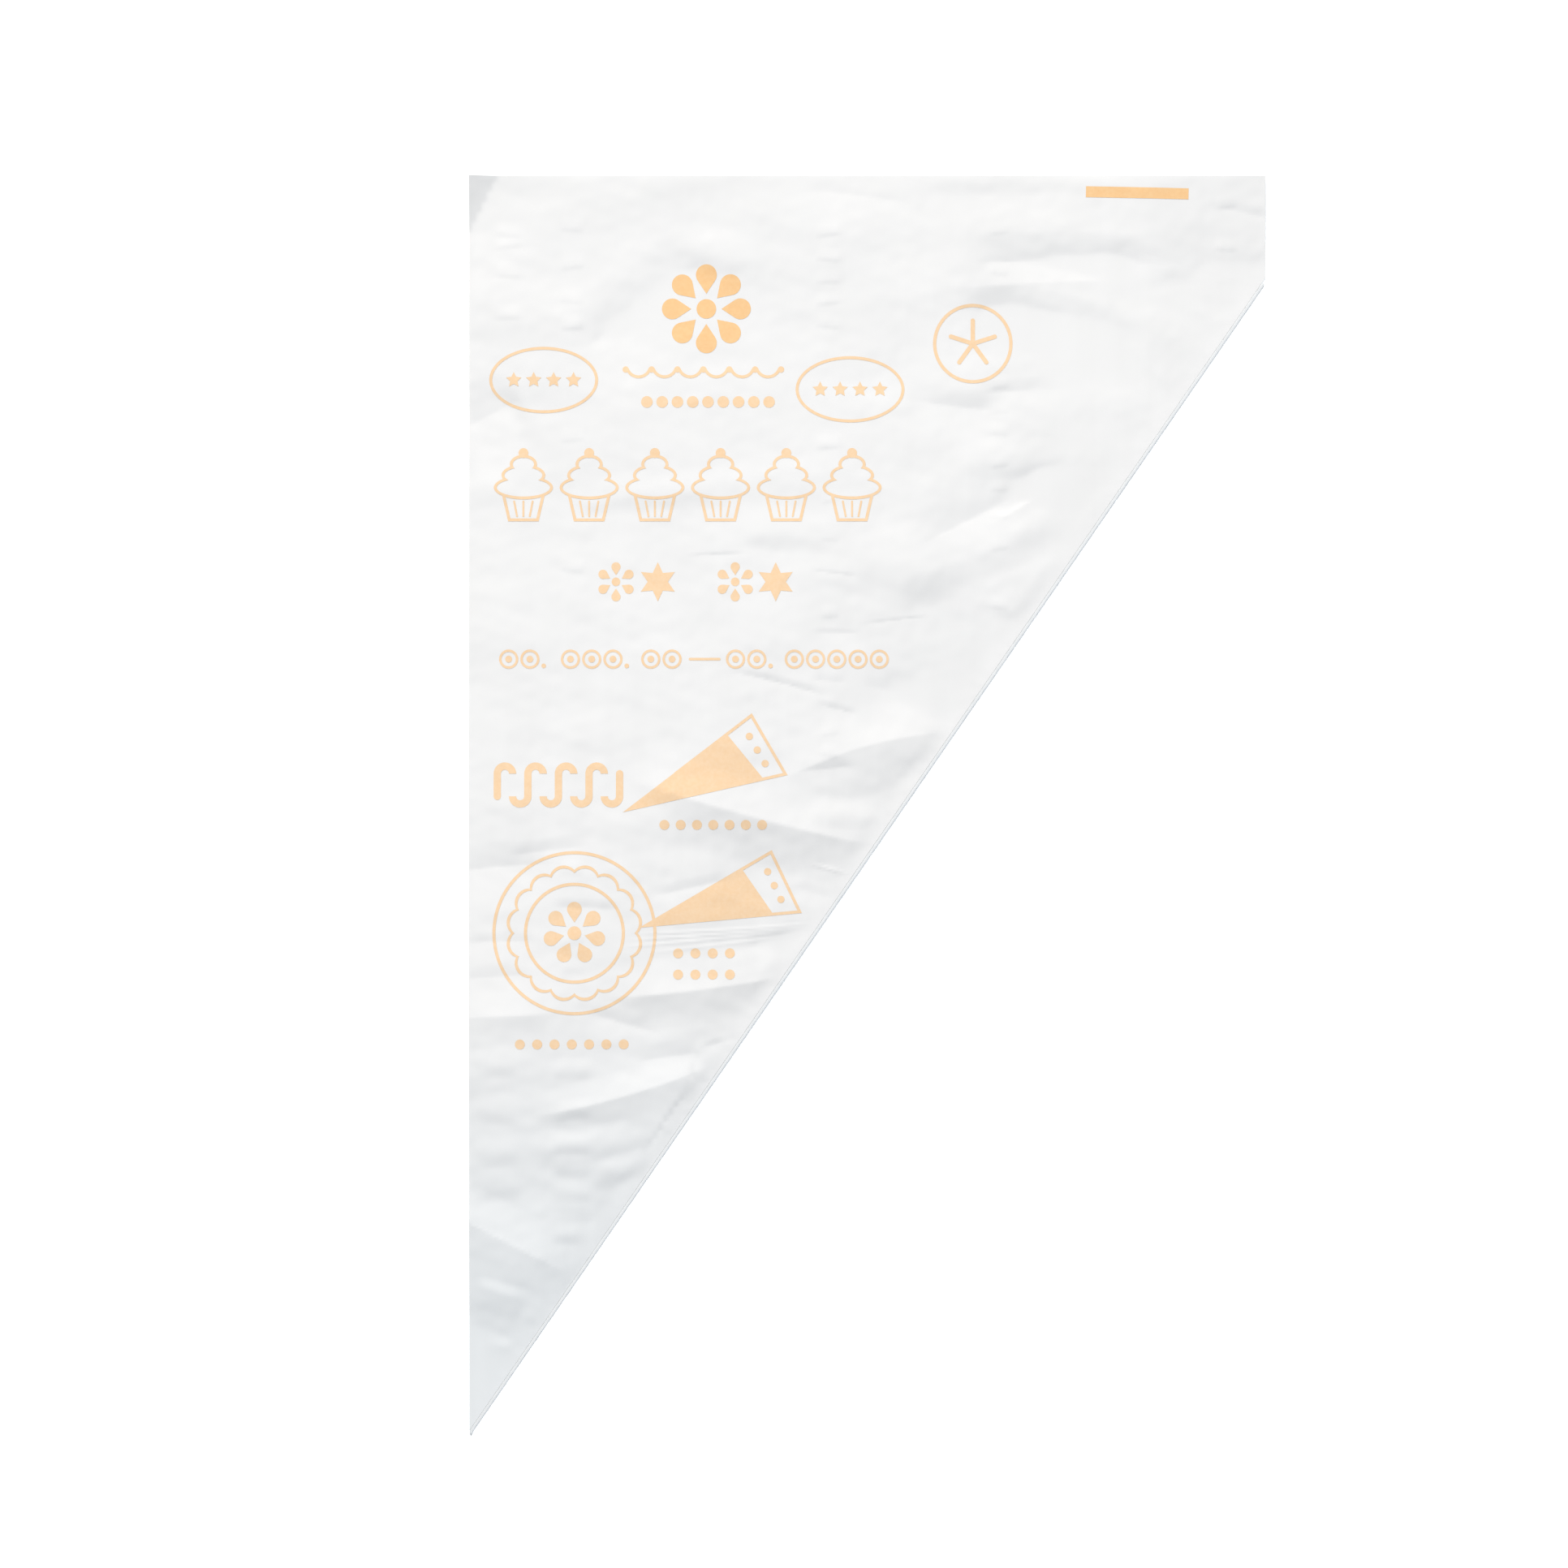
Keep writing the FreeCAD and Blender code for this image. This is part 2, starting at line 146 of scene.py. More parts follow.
CREASE_ROUND = 0.30          # a sharp fold's crease is this round
CREASE_FALL = 1.6            # a sharp fold is steeper at its crease the larger this is
FADE = 0.3                   # the share of a fold's length in which each end dies out
PROFILE_MOUTH = 0.6          # height of the film at the mouth
PROFILE_HIGH = 2.3           # its height where the bag is highest
HIGH_PLACE = 128.0           # that place's v
SHOULDER_DROP = 1.2          # how far it falls from there to the bend above the tip
EDGE_REACH = 62.0            # the film slopes down to the weld from this far inside it
EDGE_LEFT = 0.06             # the part of its height that is left there
TIP_REACH = 11.0             # the reach of that slope on the tip
TIP_BLEND = 50.0             # the body's slope turns into the tip's over this much of v
FOLDS_STOP = 7.0             # the folds die out this close to the weld
TIP_BEND = Bend((0.0, 64.5), (33.0, 47.5), -0.055)       # the film beyond it falls to the table
MOUTH_CORNER = Bend((9.5, 381.0), (-1.5, 360.0), 0.270)  # the film beyond it stands up
CREST = 0.85                 # the tip bend's crest above the film on both sides
CREST_BEYOND = 30.0          # the crest dies out over this towards the tip
CREST_BEFORE = 11.0          # and over this towards the mouth
CREST_FALL = 1.3             # it is steeper near the bend the larger this is
LOWEST = 0.15                # how softly low film levels out above the table
FOLD_DEPTH = 1.75            # one scale for all the folds
AIR = 0.22                   # air between the walls in the middle
AIR_AT_SIDE = 14.0           # it grows over this from a folded side
AIR_AT_WELD = 16.0           # and over this from the weld

# The light comes from beyond the mouth, so a side that falls towards the tip is dark. A short one is darker.
FOLDS = [
    # left of the emblem, and the diagonal fold that rises to it
    Fold((-4, 302), (17, 313), -0.50, 15, 26, 0.6),
    Fold((-8, 338), (42, 336), 0.22, 16, 9, -1.0, False),
    Fold((32, 325), (77, 357), -0.52, 13, 22, 1.6),
    Fold((60, 358), (92, 355), 0.20, 10, 7, 0.0, False),
    # along the mouth
    Fold((100, 375.5), (136, 371), -0.24, 8, 12, 0.8),
    Fold((48, 377), (72, 378), 0.10, 6, 8, 0.0, False),
    Fold((132, 378.5), (206, 379), 0.14, 9, 5, 0.0, False),
    Fold((186, 381.0), (256, 381.0), 0.50, 8, 36, 0.0, False),
    # ripples between the mouth and the ring
    Fold((147, 353.6), (213, 353.0), -0.66, 9, 19, 1.0),
    Fold((142, 345.5), (200, 348.5), 0.32, 14, 10, 0.6),
    Fold((144, 340.5), (206, 328.5), -0.78, 10, 26, 1.0),
    Fold((190, 343.5), (224, 348.5), -0.24, 6, 9, 0.0),
    Fold((207, 344.0), (231, 326.0), -0.24, 5, 8, 0.4),
    Fold((188, 335.0), (217, 307.0), -0.16, 5, 9, -1.5, False),
    Fold((216, 353.0), (246, 351.5), -0.26, 7, 9, 0.0),
    Fold((221, 341.6), (237, 340.2), -0.20, 4, 6, 0.0),
    Fold((221, 371.5), (245, 366.5), -0.12, 3, 6, 0.0),
    # under the ring
    Fold((129, 313.4), (165, 309.2), -0.26, 6, 14, -0.8),
    Fold((153, 314.4), (178, 316.2), -0.22, 4, 8, 0.0),
    # the large diagonal folds above the weld
    Fold((131, 266.5), (188, 295.0), -0.80, 16, 30, 0.0),
    Fold((144, 294.5), (188, 292.5), 0.24, 8, 7, 1.0, False),
    Fold((155, 273.6), (183, 292.4), 0.13, 2.6, 3.4, -0.9),
    Fold((176, 288.3), (194, 286.0), -0.17, 3.2, 5, 0.0),
    Fold((118, 254.5), (183, 284.5), 0.56, 24, 11.5, -2.6, False),
    # between the headline and the row below it
    Fold((22, 281.5), (90, 286.5), 0.20, 8, 6, 0.0, False),
    Fold((-6, 285.0), (16, 286.0), 0.16, 9, 7, 0.0, False),
    Fold((78, 274.0), (113, 271.0), 0.24, 9, 6, -0.5, False),
    Fold((64, 265.4), (85, 266.4), -0.07, 0.9, 3, 0.0),
    Fold((102, 261.4), (118, 259.2), -0.07, 0.9, 3, 0.0),
    Fold((102, 242.6), (119, 242.2), -0.08, 1.4, 4, 0.0),
    Fold((117, 244.6), (140, 247.2), -0.07, 1.0, 4, 0.3),
    Fold((158, 246.0), (176, 256.0), 0.12, 8, 6, 0.0, False),
    # below the row
    Fold((76, 231.0), (110, 222.6), -0.17, 2.2, 10, 0.6),
    Fold((104, 221.2), (118, 217.4), -0.13, 2.0, 6, 0.0),
    Fold((117, 227.5), (155, 213.5), -0.28, 7, 10, 0.8),
    Fold((102, 228.5), (115, 227.0), -0.10, 3, 5, 0.0),
    # the dark hollow right of the upper cone, and the long fold below it
    Fold((91, 196.0), (150, 212.5), 0.52, 12, 15, 4.0),
    Fold((98, 200.4), (117, 202.2), -0.16, 3.5, 6, 0.0),
    Fold((126, 199.0), (154, 196.0), -0.34, 7, 9, 0.0),
    Fold((100, 188.0), (126, 187.0), 0.16, 6, 5, 0.0, False),
    Fold((44, 199.5), (130, 176.5), 0.72, 16, 15, -1.5),
    Fold((102, 173.0), (119, 168.2), 0.10, 0.9, 1.0, 0.0),
    Fold((97, 166.0), (113, 161.0), -0.15, 3, 5, 0.0),
    Fold((54, 162.6), (81, 168.6), -0.14, 3.2, 5, 0.0),
    # around the roundel, at the long side
    Fold((-6, 170.0), (26, 172.8), -0.34, 8, 14, 0.5),
    Fold((10, 175.0), (38, 178.5), -0.14, 4, 8, 0.0),
    Fold((23, 160.0), (47, 159.0), -0.12, 3, 6, 0.0),
    Fold((-4, 149.0), (21, 149.6), -0.12, 3.4, 6, 0.0),
    Fold((-4, 138.0), (20, 139.4), -0.14, 4, 7, 0.0),
    # fine creases below the lower cone, which run together near the weld
    Fold((44, 149.6), (110, 154.4), 0.10, 0.9, 1.0, -0.5),
    Fold((47, 151.6), (111, 155.4), 0.10, 0.9, 1.0, -0.7),
    Fold((42, 147.4), (106, 153.4), 0.08, 0.9, 1.0, -0.4),
    Fold((52, 145.6), (99, 151.0), 0.06, 0.8, 1.0, 0.0),
    Fold((80, 146.6), (110, 152.4), -0.26, 6, 8, 0.0),
    # between the roundel and the weld
    Fold((38, 132.0), (102, 140.0), 0.52, 11, 11, -1.2),
    Fold((-8, 126.0), (28, 127.6), 0.30, 8, 10, 0.0),
    Fold((35, 128.0), (59, 121.0), -0.15, 4, 7, 0.0),
    Fold((49, 113.0), (72, 116.0), -0.18, 5, 6, 0.0),
    Fold((16, 96.0), (77, 113.5), 0.42, 8, 11, -2.0),
    Fold((14, 86.0), (56, 91.0), 0.20, 6, 7, 0.0, False),
    Fold((36, 78.0), (58, 84.0), 0.18, 5, 6, 0.0, False),
    # flaps of slack film along the weld
    Fold((51.5, 83.0), (67.5, 106.0), -0.09, 1.4, 4.0, 0.5),
    Fold((66.0, 105.0), (70.5, 118.0), -0.08, 1.2, 3.0, 0.4),
    Fold((69.0, 117.0), (82.0, 120.5), -0.11, 1.8, 3.6, 0.0),
    # the tip's light patches
    Fold((1, 45.5), (18, 40.5), 0.17, 4, 13, 0.0, False),
    Fold((3, 29.0), (15, 25.0), 0.13, 4, 12, 0.0, False),
]

# Columns of puckers, left by the rollers that flattened the tube. Each pucker is a short soft fold across
# the bag: its length, its height and how far it reaches on its upper and lower side.
Puckers = namedtuple("Puckers", "column places length height upper lower")
PUCKERS = [
    Puckers(12.0, (363.0, 359.5, 350.6, 338.0), 11.0, 0.066, 4.0, 2.0),
    Puckers(31.0, (364.4, 353.1, 342.8, 334.8, 301.0, 261.8), 8.5, 0.073, 4.0, 1.9),
    Puckers(108.5, (362.9, 355.3, 348.7, 342.3, 335.2, 298.8), 9.0, 0.067, 3.6, 1.7),
    Puckers(108.5, (282.5, 271.0, 247.8, 212.4, 206.0), 7.0, 0.050, 3.6, 1.7),
    Puckers(
        159.5,
        (363.4, 351.2, 316.9, 309.5, 302.9, 293.2, 286.0, 277.7, 268.2, 250.6),
        7.0, 0.056, 3.4, 1.7,
    ),
    Puckers(228.0, (371.2, 358.5, 348.5, 342.6), 8.0, 0.067, 3.6, 1.8),
    Puckers(9.0, (112.6, 98.6, 86.0, 75.5), 17.0, 0.125, 6.0, 5.4),
    Puckers(31.0, (110.8, 98.4, 88.3, 81.6, 73.8, 61.0), 15.0, 0.11, 4.2, 3.8),
    Puckers(31.0, (141.5, 150.0, 171.0), 9.0, 0.05, 3.6, 2.6),
]
PUCKER_TILT = 0.6            # a pucker's ends are up to this far above and below its middle

# Low waves of slack film: (seed, how many, shortest, longest, steepness).
WAVES = (
    (3, 8, 45, 120, 0.007),
    (11, 14, 12, 40, 0.007),
    (23, 16, 4, 11, 0.0055),
)
WAVE_SCATTER = 0.6           # of the waves' directions, in radians

WELD_PUCKER = 0.03           # height of the ripples along the weld
WELD_PUCKER_START = 1.5      # they reach it this far inside the weld
WELD_PUCKER_REACH = 5.0      # and die out over this


def fold_height(fold, u, v):
    """What one fold adds to the height at each place."""
    start, end = np.array(fold.start, float), np.array(fold.end, float)
    length = np.linalg.norm(end - start)
    along = (end - start) / length
    t = ((u - start[0]) * along[0] + (v - start[1]) * along[1]) / length
    aside = (v - start[1]) * along[0] - (u - start[0]) * along[1]
    aside = aside - fold.bend * 4 * t * (1 - t)
    reach = np.where(aside > 0, fold.left, fold.right)
    if fold.sharp:
        near = np.sqrt(aside**2 + CREASE_ROUND**2) / np.sqrt(reach**2 + CREASE_ROUND**2)
        profile = np.clip(1 - near, 0, 1) ** CREASE_FALL
    else:
        profile = 0.5 + 0.5 * np.cos(np.pi * np.clip(np.abs(aside) / reach, 0, 1))
    ends = smooth(t / FADE) * smooth((1 - t) / FADE)
    return fold.height * profile * ends


def pucker_folds():
    """Every pucker as a short fold across the bag."""
    folds = []
    for group in PUCKERS:
        for i, v in enumerate(group.places):
            tilt = PUCKER_TILT * math.sin(2.3 * i + group.column)
            start = (group.column - group.length / 2, v - tilt)
            end = (group.column + group.length / 2, v + tilt)
            folds.append(Fold(start, end, group.height, group.upper, group.lower, sharp=False))
    return folds


def random_waves(u, v, seed, count, shortest, longest, steepness):
    """This many low waves, mostly across the bag. Every wave has its own length and direction."""
    rng = np.random.default_rng(seed)
    total = np.zeros_like(u)
    for _ in range(count):
        length = shortest * (longest / shortest) ** rng.random()
        angle = rng.normal(math.pi / 2, WAVE_SCATTER)
        phase = rng.random() * 2 * math.pi
        across = u * math.cos(angle) + v * math.sin(angle)
        total += steepness * length / (2 * math.pi) * np.sin(2 * math.pi * across / length + phase)
    return total


def weld_puckers(u, v):
    """Short ripples that run in from the weld, where its heat shrank the film."""
    inward = from_weld(u, v)
    along = (u - APEX[0]) * WELD_ALONG[0] + (v - APEX[1]) * WELD_ALONG[1]
    long_ripple = np.sin(along * 2 * np.pi / 6.3 + 1.7 * np.sin(along / 11.0))
    short_ripple = np.sin(along * 2 * np.pi / 3.9 + 2.0)
    wave = long_ripple + 0.6 * short_ripple
    patchy = 0.3 + 0.7 * smooth(0.5 + 0.5 * np.sin(along / 19.0 + 0.8))
    strength = np.exp(-np.maximum(inward, 0) / WELD_PUCKER_REACH)
    return WELD_PUCKER * strength * smooth(inward / WELD_PUCKER_START) * wave * patchy


def long_profile(u, v):
    """The bag's height along its length: it rises from the mouth, then falls to the bend above the tip."""
    rise = smooth((LENGTH - v) / (LENGTH - HIGH_PLACE))
    drop = smooth((HIGH_PLACE - v) / (HIGH_PLACE - TIP_BEND.foot[1]))
    return PROFILE_MOUTH + (PROFILE_HIGH - PROFILE_MOUTH) * rise - SHOULDER_DROP * drop


def beyond(bend, u, v):
    """How far a place lies to the right of a bend's line, and the height that the bend adds there."""
    along = np.array(bend.head) - np.array(bend.foot)
    along = along / np.linalg.norm(along)
    distance = (u - bend.foot[0]) * along[1] - (v - bend.foot[1]) * along[0]
    return distance, bend.slope * 0.5 * (distance + np.sqrt(distance**2 + CREASE_ROUND**2))


def turned_ends(u, v):
    """The tip is bent down and has a crest along its bend. The mouth's left corner is turned up."""
    below, tip_height = beyond(TIP_BEND, u, v)
    before_bend = np.clip(1 + below / CREST_BEFORE, 0, 1) ** CREST_FALL
    crest = np.where(below > 0, np.exp(-below / CREST_BEYOND), before_bend)
    corner_height = beyond(MOUTH_CORNER, u, v)[1]
    return tip_height + CREST * crest + corner_height


def held_down(u, v):
    """The share of its height that the film keeps near the weld, which lies on the table."""
    inward = np.maximum(from_weld(u, v), 0)
    above_tip = smooth((v - TIP_BEND.foot[1]) / TIP_BLEND)
    body = EDGE_LEFT + (1 - EDGE_LEFT) * smooth(inward / EDGE_REACH)
    tip = 1 - np.exp(-inward / TIP_REACH)
    return above_tip * body + (1 - above_tip) * tip


ALL_FOLDS = FOLDS + pucker_folds()


def lying(u, v):
    """How far the film is off the table. Both walls lie together and fold together."""
    folded = np.zeros_like(u)
    for waves in WAVES:
        folded = folded + random_waves(u, v, *waves)
    for fold in ALL_FOLDS:
        folded = folded + FOLD_DEPTH * fold_height(fold, u, v)
    near_weld = smooth((from_weld(u, v) + WELD_WIDTH / 2) / FOLDS_STOP)
    height = (long_profile(u, v) + turned_ends(u, v)) * held_down(u, v)
    height = height + folded * near_weld + weld_puckers(u, v)
    return 0.5 * (height + np.sqrt(height**2 + LOWEST**2))


def slack(u, v):
    """The air between the walls: none along the folded sides and the weld, where the walls are one."""
    at_sides = smooth(u / AIR_AT_SIDE) * smooth((WIDTH - u) / AIR_AT_SIDE)
    return AIR * at_sides * smooth(from_weld(u, v) / AIR_AT_WELD)


def back_top(u, v):
    return lying(u, v) + FILM


def front_top(u, v):
    return lying(u, v) + 2 * FILM + slack(u, v)


# ---- building thin closed pieces that follow a height ----
def flat_grid(low, high, cell_u, cell_v):
    """A flat mesh of cells between two corners, in (u, v), as a bmesh."""
    across = max(1, round((high[0] - low[0]) / cell_u))
    up = max(1, round((high[1] - low[1]) / cell_v))
    grid = bmesh.new()
    rows = []
    for j in range(up + 1):
        v = low[1] + (high[1] - low[1]) * j / up
        row = []
        for i in range(across + 1):
            u = low[0] + (high[0] - low[0]) * i / across
            row.append(grid.verts.new((u, v, 0)))
        rows.append(row)
    for j in range(up):
        for i in range(across):
            grid.faces.new((rows[j][i], rows[j][i + 1], rows[j + 1][i + 1], rows[j + 1][i]))
    return grid


def cut(flat, place, outward, clear=True):
    """Cuts the flat mesh along the line through this place, and clears what lies on the outward side."""
    bmesh.ops.bisect_plane(
        flat,
        geom=flat.verts[:] + flat.edges[:] + flat.faces[:],
        dist=1e-5,
        plane_co=(place[0], place[1], 0),
        plane_no=(outward[0], outward[1], 0),
        clear_outer=clear,
    )


def surface_normals(height, u, v):
    """Upward normals of the surface with this height, from its slopes."""
    step = 0.25
    along_u = (height(u + step, v) - height(u - step, v)) / (2 * step)
    along_v = (height(u, v + step) - height(u, v - step)) / (2 * step)
    normals = np.stack([-along_u, -along_v, np.ones_like(u)], 1)
    return normals / np.linalg.norm(normals, axis=1)[:, None]


def closed_faces(flat, count):
    """Faces of the top (points from 0) and the bottom (from count), and those that join their edges."""
    faces = []
    for face in flat.faces:
        upward = face.normal.z > 0
        ring = [vert.index for vert in face.verts]
        faces.append(ring if upward else ring[::-1])
        faces.append([count + i for i in (ring[::-1] if upward else ring)])
        for loop in face.loops:
            if loop.edge.is_boundary:
                a, b = loop.vert.index, loop.link_loop_next.vert.index
                faces.append([b, a, count + a, count + b] if upward else [a, b, count + b, count + a])
    return faces


def shell(name, flat, height, thickness, material):
    """A closed piece of this thickness. Its top is the flat mesh raised to the height at each place."""
    flat.verts.index_update()
    flat.normal_update()
    places = np.array([vert.co[:2] for vert in flat.verts])
    u, v = places[:, 0], places[:, 1]
    top = height(u, v)
    count = len(places)
    co = np.zeros((2 * count, 3))
    for rows, z in ((slice(0, count), top), (slice(count, 2 * count), top - thickness)):
        co[rows, 0] = cad_low.x + u * MM
        co[rows, 1] = cad_low.y + v * MM
        co[rows, 2] = cad_low.z + z * MM
    mesh = bpy.data.meshes.new(name)
    mesh.from_pydata(co.tolist(), [], closed_faces(flat, count))
    flat.free()
    mesh.polygons.foreach_set("use_smooth", [True] * len(mesh.polygons))
    normals = surface_normals(height, u, v)
    mesh.normals_split_custom_set_from_vertices(np.concatenate([normals, -normals]).tolist())
    mesh.materials.append(material)
    piece = bpy.data.objects.new(name, mesh)
    bpy.context.scene.collection.objects.link(piece)
    return piece


# ---- materials ----
# Base colours as (darkest, lightest). The film is painted greyer at the tip than above it: painted shade for
# the bent-down, creased tip.
FILM_ABOVE = ((0.582, 0.569, 0.562), (0.600, 0.586, 0.579))
FILM_PAINTED_SHADE_AT_TIP = ((0.535, 0.540, 0.545), (0.553, 0.557, 0.561))
# The weld's colours are darker than the film's: painted shade that tones down the light the bead's rounded
# top catches.
WELD_PAINTED_SHADE_COLOURS = ((0.50, 0.505, 0.51), (0.54, 0.54, 0.542))
SOLID_INK = ((0.545, 0.318, 0.135), (0.557, 0.350, 0.165))
THIN_INK = ((0.545, 0.362, 0.205), (0.557, 0.394, 0.247))
FULL_PAINTED_SHADE_UP_TO = 45.0            # v up to which the film carries the tip's full painted shade
NO_PAINTED_SHADE_FROM = 135.0           # v from which it carries no painted shade
FILM_IOR = 1.51
INK_IOR = 1.48
FILM_ALPHA = 0.82
WELD_ALPHA = 0.85
SOLID_PATCHES = ("mouth_bar", "flower_emblem")     # printed more heavily than the rest


def new_material(name):
    """A node material, its Principled shader, and object coordinates in metres."""
    material = bpy.data.materials.new(name)
    material.use_nodes = True
    tree = material.node_tree
    shader = tree.nodes["Principled BSDF"]
    places = tree.nodes.new("ShaderNodeTexCoord").outputs["Object"]
    return material, tree, shader, places


def noise_node(tree, places, scale, detail=2.0, stretch=(1, 1, 1)):
    """Noise of this many features per metre, stretched along an axis by a small scale there."""
    mapping = tree.nodes.new("ShaderNodeMapping")
    mapping.inputs["Scale"].default_value = stretch
    tree.links.new(places, mapping.inputs["Vector"])
    texture = tree.nodes.new("ShaderNodeTexNoise")
    texture.inputs["Scale"].default_value = scale
    texture.inputs["Detail"].default_value = detail
    tree.links.new(mapping.outputs["Vector"], texture.inputs["Vector"])
    return texture.outputs["Fac"]


def between(tree, factor, low, high, blend_from=0.3, blend_to=0.7):
    """A colour that goes from low to high as the factor rises."""
    ramp = tree.nodes.new("ShaderNodeValToRGB")
    ramp.color_ramp.elements[0].position = blend_from
    ramp.color_ramp.elements[1].position = blend_to
    ramp.color_ramp.elements[0].color = (*low, 1)
    ramp.color_ramp.elements[1].color = (*high, 1)
    tree.links.new(factor, ramp.inputs["Fac"])
    return ramp.outputs["Color"]


def spread(tree, factor, low, high):
    """A number that goes from low to high as the factor goes from 0.3 to 0.7."""
    node = tree.nodes.new("ShaderNodeMapRange")
    node.inputs["From Min"].default_value = 0.3
    node.inputs["From Max"].default_value = 0.7
    node.inputs["To Min"].default_value = low
    node.inputs["To Max"].default_value = high
    tree.links.new(factor, node.inputs["Value"])
    return node.outputs["Result"]


def bump(tree, shader, heights, distance):
    """Adds relief to the shader. The distance is in metres."""
    node = tree.nodes.new("ShaderNodeBump")
    node.inputs["Strength"].default_value = 1.0
    node.inputs["Distance"].default_value = distance
    tree.links.new(heights, node.inputs["Height"])
    tree.links.new(node.outputs["Normal"], shader.inputs["Normal"])


def unshaded_share(tree, places):
    """A number that goes from 0 at the tip to 1 on the rest of the bag: how far the tip's painted shade has
    faded out.
    """
    along = tree.nodes.new("ShaderNodeSeparateXYZ")
    tree.links.new(places, along.inputs["Vector"])
    share = tree.nodes.new("ShaderNodeMapRange")
    share.inputs["From Min"].default_value = in_frame((0, FULL_PAINTED_SHADE_UP_TO)).y
    share.inputs["From Max"].default_value = in_frame((0, NO_PAINTED_SHADE_FROM)).y
    tree.links.new(along.outputs["Y"], share.inputs["Value"])
    return share.outputs["Result"]


def film_material():
    """Milky polyethylene film, with faint streaks along the tube that it was blown as, and painted shade
    that greys its colour towards the tip.
    """
    material, tree, shader, places = new_material("bag_film")
    streaks = noise_node(tree, places, 260, 2.0, (1.0, 0.04, 1.0))
    cloud = noise_node(tree, places, 38, 3.0)
    mix = tree.nodes.new("ShaderNodeMix")
    mix.data_type = "RGBA"
    # Painted shade: the film's colour turns greyer towards the tip and fades into its own colour above it.
    tree.links.new(unshaded_share(tree, places), mix.inputs["Factor"])
    tree.links.new(between(tree, cloud, *FILM_PAINTED_SHADE_AT_TIP), mix.inputs["A"])
    tree.links.new(between(tree, cloud, *FILM_ABOVE), mix.inputs["B"])
    tree.links.new(mix.outputs["Result"], shader.inputs["Base Color"])
    tree.links.new(spread(tree, streaks, 0.30, 0.42), shader.inputs["Roughness"])
    bump(tree, shader, streaks, 0.000006)
    shader.inputs["IOR"].default_value = FILM_IOR
    shader.inputs["Alpha"].default_value = FILM_ALPHA
    return material


def weld_material():
    """Film melted into a bead, glossier than the walls. Its colour is painted a little darker than theirs:
    painted shade that tones down the light its rounded top catches.
    """
    material, tree, shader, places = new_material("weld_bead")
    lumps = noise_node(tree, places, 420, 3.0)
    tree.links.new(between(tree, lumps, *WELD_PAINTED_SHADE_COLOURS), shader.inputs["Base Color"])
    tree.links.new(spread(tree, lumps, 0.18, 0.34), shader.inputs["Roughness"])
    bump(tree, shader, lumps, 0.00006)
    shader.inputs["IOR"].default_value = FILM_IOR
    shader.inputs["Alpha"].default_value = WELD_ALPHA
    return material


def ink_material(name, deep, pale):
    """Light orange print, thin enough to be a little uneven."""
    material, tree, shader, places = new_material(name)
    mottle = noise_node(tree, places, 900, 3.0)
    cloud = noise_node(tree, places, 120, 2.0)
    tree.links.new(between(tree, mottle, deep, pale, 0.25, 0.75), shader.inputs["Base Color"])
    tree.links.new(spread(tree, cloud, 0.38, 0.5), shader.inputs["Roughness"])
    bump(tree, shader, mottle, 0.000008)
    shader.inputs["IOR"].default_value = INK_IOR
    return material


film = film_material()
weld = weld_material()
solid_ink = ink_material("solid_print", *SOLID_INK)
thin_ink = ink_material("thin_print", *THIN_INK)


# ---- the two walls ----
def bend_at_centre(piece):
    """Bakes the piece's placement into its mesh. The piece lies on the wall's left and right panels, either
    side of the centre crease.
    """
    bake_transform(piece)


def bend_at_corner(piece):
    """Bakes the piece's placement into its mesh. The piece lies at the wall's corner crease, between its
    right and corner panels.
    """
    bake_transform(piece)


SEAM_PLACE = WELD_TOP - CORNER_ACROSS * SEAM
CORNER_START = (0.5 * WIDTH, WELD_TOP[1] - 8)    # the corner film is to the right of this and above it


def flat_film(start, cleared):
    """A flat grid from start to the mouth's right corner, cut along the weld and cleared beyond the seam."""
    flat = flat_grid(start, (WIDTH, LENGTH), CELL_U, CELL_V)
    cut(flat, SEAM_PLACE, cleared)
    cut(flat, APEX, -WELD_INWARD)
    return flat


def wall_film(wall, height):
    """The film of one wall as two pieces, which meet on a seam that no bending film reaches."""
    flat_main = flat_film((0.0, APEX[1]), CORNER_ACROSS)
    flat_corner = flat_film(CORNER_START, -CORNER_ACROSS)
    main = shell(wall + "_film", flat_main, height, FILM, film)
    corner = shell(wall + "_corner_film", flat_corner, height, FILM, film)
    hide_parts(wall + "_left_wall", wall + "_right_wall")
    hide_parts(wall + "_corner_wall")
    bend_at_centre(main)
    bend_at_corner(corner)
    return main, corner


back_film, back_corner_film = wall_film("back", back_top)
front_film, front_corner_film = wall_film("front", front_top)


# ---- the weld ----
WELD_AIR = 0.06              # between the bead and the free films
BEAD_TALL = 0.12             # half the bead's height
BEAD_SQUARE = 0.6            # 1 would be an oval, and less is squarer
BEAD_STEPS = 440             # rings of points along the bead
BEAD_AROUND = 12             # points in each ring
BEAD_NARROWS = 1.2           # the bead narrows over this to its ends


def squared(x):
    """Turns a circle's cosine or sine into that of a rounded rectangle."""
    return math.copysign(abs(x) ** BEAD_SQUARE, x)


